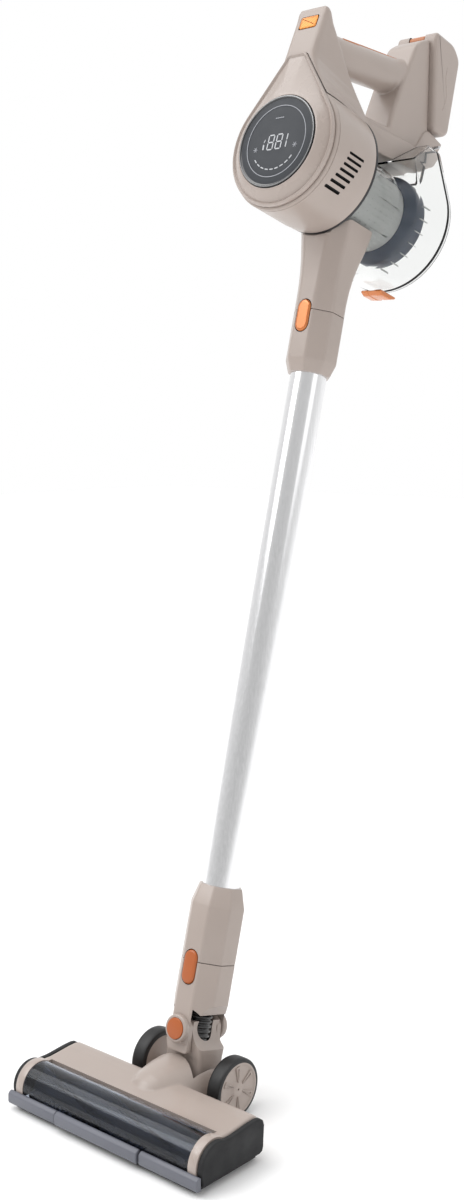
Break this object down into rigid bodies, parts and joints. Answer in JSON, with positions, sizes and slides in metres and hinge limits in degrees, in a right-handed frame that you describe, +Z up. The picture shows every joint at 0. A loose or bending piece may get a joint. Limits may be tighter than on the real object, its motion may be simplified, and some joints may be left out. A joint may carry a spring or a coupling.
{
  "type": "cordless stick vacuum cleaner",
  "caption": "Cordless stick vacuum cleaner: grip loop with round display and motor, clear dust cup behind, aluminium wand and a swivelling powered floor head.",
  "frame": {"origin": "middle of the hand grip, where a hand or a hook holds the cleaner", "axes": "+Z up, -Y the way the cleaner is pushed, +X to the right as seen from the front"},
  "size_m": [0.236, 0.507, 1.0143],
  "materials": {
    "taupe": "satin moulded ABS, warm greige",
    "taupe_gloss": "gloss moulded ABS, warm greige",
    "copper": "copper metallic paint, gloss",
    "burnt": "burnt orange, satin",
    "tube": "satin anodised drawn tube",
    "bezel": "black gloss with a bright edge",
    "glass": "smoked display glass",
    "pcb": "solder-masked board",
    "gold": "gold-plated contacts",
    "steel": "bright zinc steel",
    "motor_metal": "pressed steel can",
    "windings": "enamelled copper windings and laminations",
    "rubber": "soft black rubber",
    "tyre": "black rubber tread",
    "clear": "clear polycarbonate",
    "smoked": "smoked clear polycarbonate",
    "shroud": "translucent grey moulding",
    "navy": "dark slate moulding",
    "filter": "pleated filter paper",
    "cell": "shrink-wrapped cell",
    "charcoal": "fine-textured dark grey moulding",
    "black": "black moulding",
    "brush": "soft bristle strips",
    "white": "white acetal"
  },
  "bodies": {
    "hand_unit": {"handle_frame": "taupe", "grip_inlay": "copper", "front_panel": "taupe_gloss", "motor_housing": "taupe", "display_bezel": "bezel", "display_glass": "glass", "display_board": "pcb", "inlet_neck": "taupe", "motor_can": "motor_metal", "motor_stator": "windings", "motor_seal": "rubber", "rim_gasket": "rubber", "battery_dock_contacts": "gold", "frame_screws": "steel"},
    "fan": {"motor_rotor": "motor_metal"},
    "power_switch": {"power_button": "copper"},
    "battery": {"battery_case": "taupe", "battery_cells": "cell", "battery_board": "pcb", "charge_socket": "black"},
    "battery_release": {"battery_button": "copper"},
    "cup": {"dust_cup": "clear", "cyclone_shroud": "shroud", "cyclone_skirt": "navy", "hepa_filter": "filter"},
    "lid": {"cup_lid": "clear", "lid_gasket": "rubber", "lid_pins": "steel"},
    "latch": {"cup_latch": "copper"},
    "wand": {"wand_tube": "tube", "wand_top_fitting": "taupe", "wand_bottom_fitting": "taupe", "wand_wire_duct": "black", "wand_plug": "gold"},
    "wand_release": {"wand_button": "copper"},
    "neck": {"neck_upper": "taupe", "neck_plug": "gold", "bellows_hose": "rubber", "swivel_cap": "burnt"},
    "head_release": {"head_button": "burnt"},
    "ankle": {"neck_lower": "taupe", "swivel_pins": "steel"},
    "floor_head": {"head_cover": "taupe_gloss", "head_base": "black", "roller_window": "smoked", "bumper": "charcoal", "end_plate_left": "charcoal", "end_plate_right": "charcoal", "roller_motor": "motor_metal", "drive_belt": "rubber", "roller_bearings": "steel", "wheel_axles": "steel", "head_screws": "steel"},
    "roller_pulley": {"motor_pulley": "white"},
    "roller": {"brush_core": "charcoal", "brush_strips": "brush"},
    "left_wheel": {"wheel_left": "taupe", "tyre_left": "tyre"},
    "right_wheel": {"wheel_right": "taupe", "tyre_right": "tyre"}
  },
  "joints": [
    {"name": "fan_spin", "type": "hinge", "parent": "hand_unit", "child": "fan", "pos_m": [0, -0.09384, -0.09909], "axis": [0, 0.9659, -0.2588], "continuous": true},
    {"name": "power_press", "type": "slide", "parent": "hand_unit", "child": "power_switch", "axis": [0, 0.8949, -0.4462], "range_m": [0, 0.0015], "stiffness_N_per_m": 600},
    {"name": "battery_slide", "type": "slide", "parent": "hand_unit", "child": "battery", "axis": [0, 0.9659, -0.2588], "range_m": [0, 0.045]},
    {"name": "battery_release_press", "type": "slide", "parent": "battery", "child": "battery_release", "axis": [0, -0.2588, -0.9659], "range_m": [0, 0.002], "stiffness_N_per_m": 600},
    {"name": "cup_slide", "type": "slide", "parent": "hand_unit", "child": "cup", "axis": [0, 0.9659, -0.2588], "range_m": [0, 0.05]},
    {"name": "lid_hinge", "type": "hinge", "parent": "cup", "child": "lid", "pos_m": [0, 0.07499, -0.06979], "axis": [1, 0, 0], "range_deg": [0, 80]},
    {"name": "latch_tip", "type": "hinge", "parent": "cup", "child": "latch", "pos_m": [0, 0.01831, -0.21372], "axis": [-1, 0, 0], "range_deg": [0, 8], "stiffness_Nm_per_rad": 0.4},
    {"name": "wand_slide", "type": "slide", "parent": "hand_unit", "child": "wand", "axis": [0, -0.2588, -0.9659], "range_m": [0, 0.045]},
    {"name": "wand_release_press", "type": "slide", "parent": "wand", "child": "wand_release", "axis": [0, 0.9659, -0.2588], "range_m": [0, 0.003], "stiffness_N_per_m": 500},
    {"name": "head_slide", "type": "slide", "parent": "wand", "child": "neck", "axis": [0, -0.2588, -0.9659], "range_m": [0, 0.045]},
    {"name": "head_release_press", "type": "slide", "parent": "neck", "child": "head_release", "axis": [0, 0.9659, -0.2588], "range_m": [0, 0.003], "stiffness_N_per_m": 500},
    {"name": "swivel", "type": "hinge", "parent": "neck", "child": "ankle", "pos_m": [0, -0.24553, -0.89702], "axis": [0, 0.9659, -0.2588], "range_deg": [-42, 42], "deforming": ["bellows_hose"]},
    {"name": "head_tilt", "type": "hinge", "parent": "ankle", "child": "floor_head", "pos_m": [0, -0.24943, -0.93953], "axis": [1, 0, 0], "range_deg": [-12, 60]},
    {"name": "roller_spin", "type": "hinge", "parent": "floor_head", "child": "roller", "pos_m": [0, -0.34742, -0.94853], "axis": [1, 0, 0], "continuous": true},
    {"name": "pulley_spin", "type": "hinge", "parent": "floor_head", "child": "roller_pulley", "pos_m": [0, -0.30843, -0.94753], "axis": [1, 0, 0], "continuous": true},
    {"name": "left_wheel_spin", "type": "hinge", "parent": "floor_head", "child": "left_wheel", "pos_m": [0, -0.24943, -0.93953], "axis": [1, 0, 0], "continuous": true},
    {"name": "right_wheel_spin", "type": "hinge", "parent": "floor_head", "child": "right_wheel", "pos_m": [0, -0.24943, -0.93953], "axis": [1, 0, 0], "continuous": true}
  ],
  "couplings": [
    {"joint": "pulley_spin", "follows": "roller_spin", "ratio": 1.8}
  ]
}
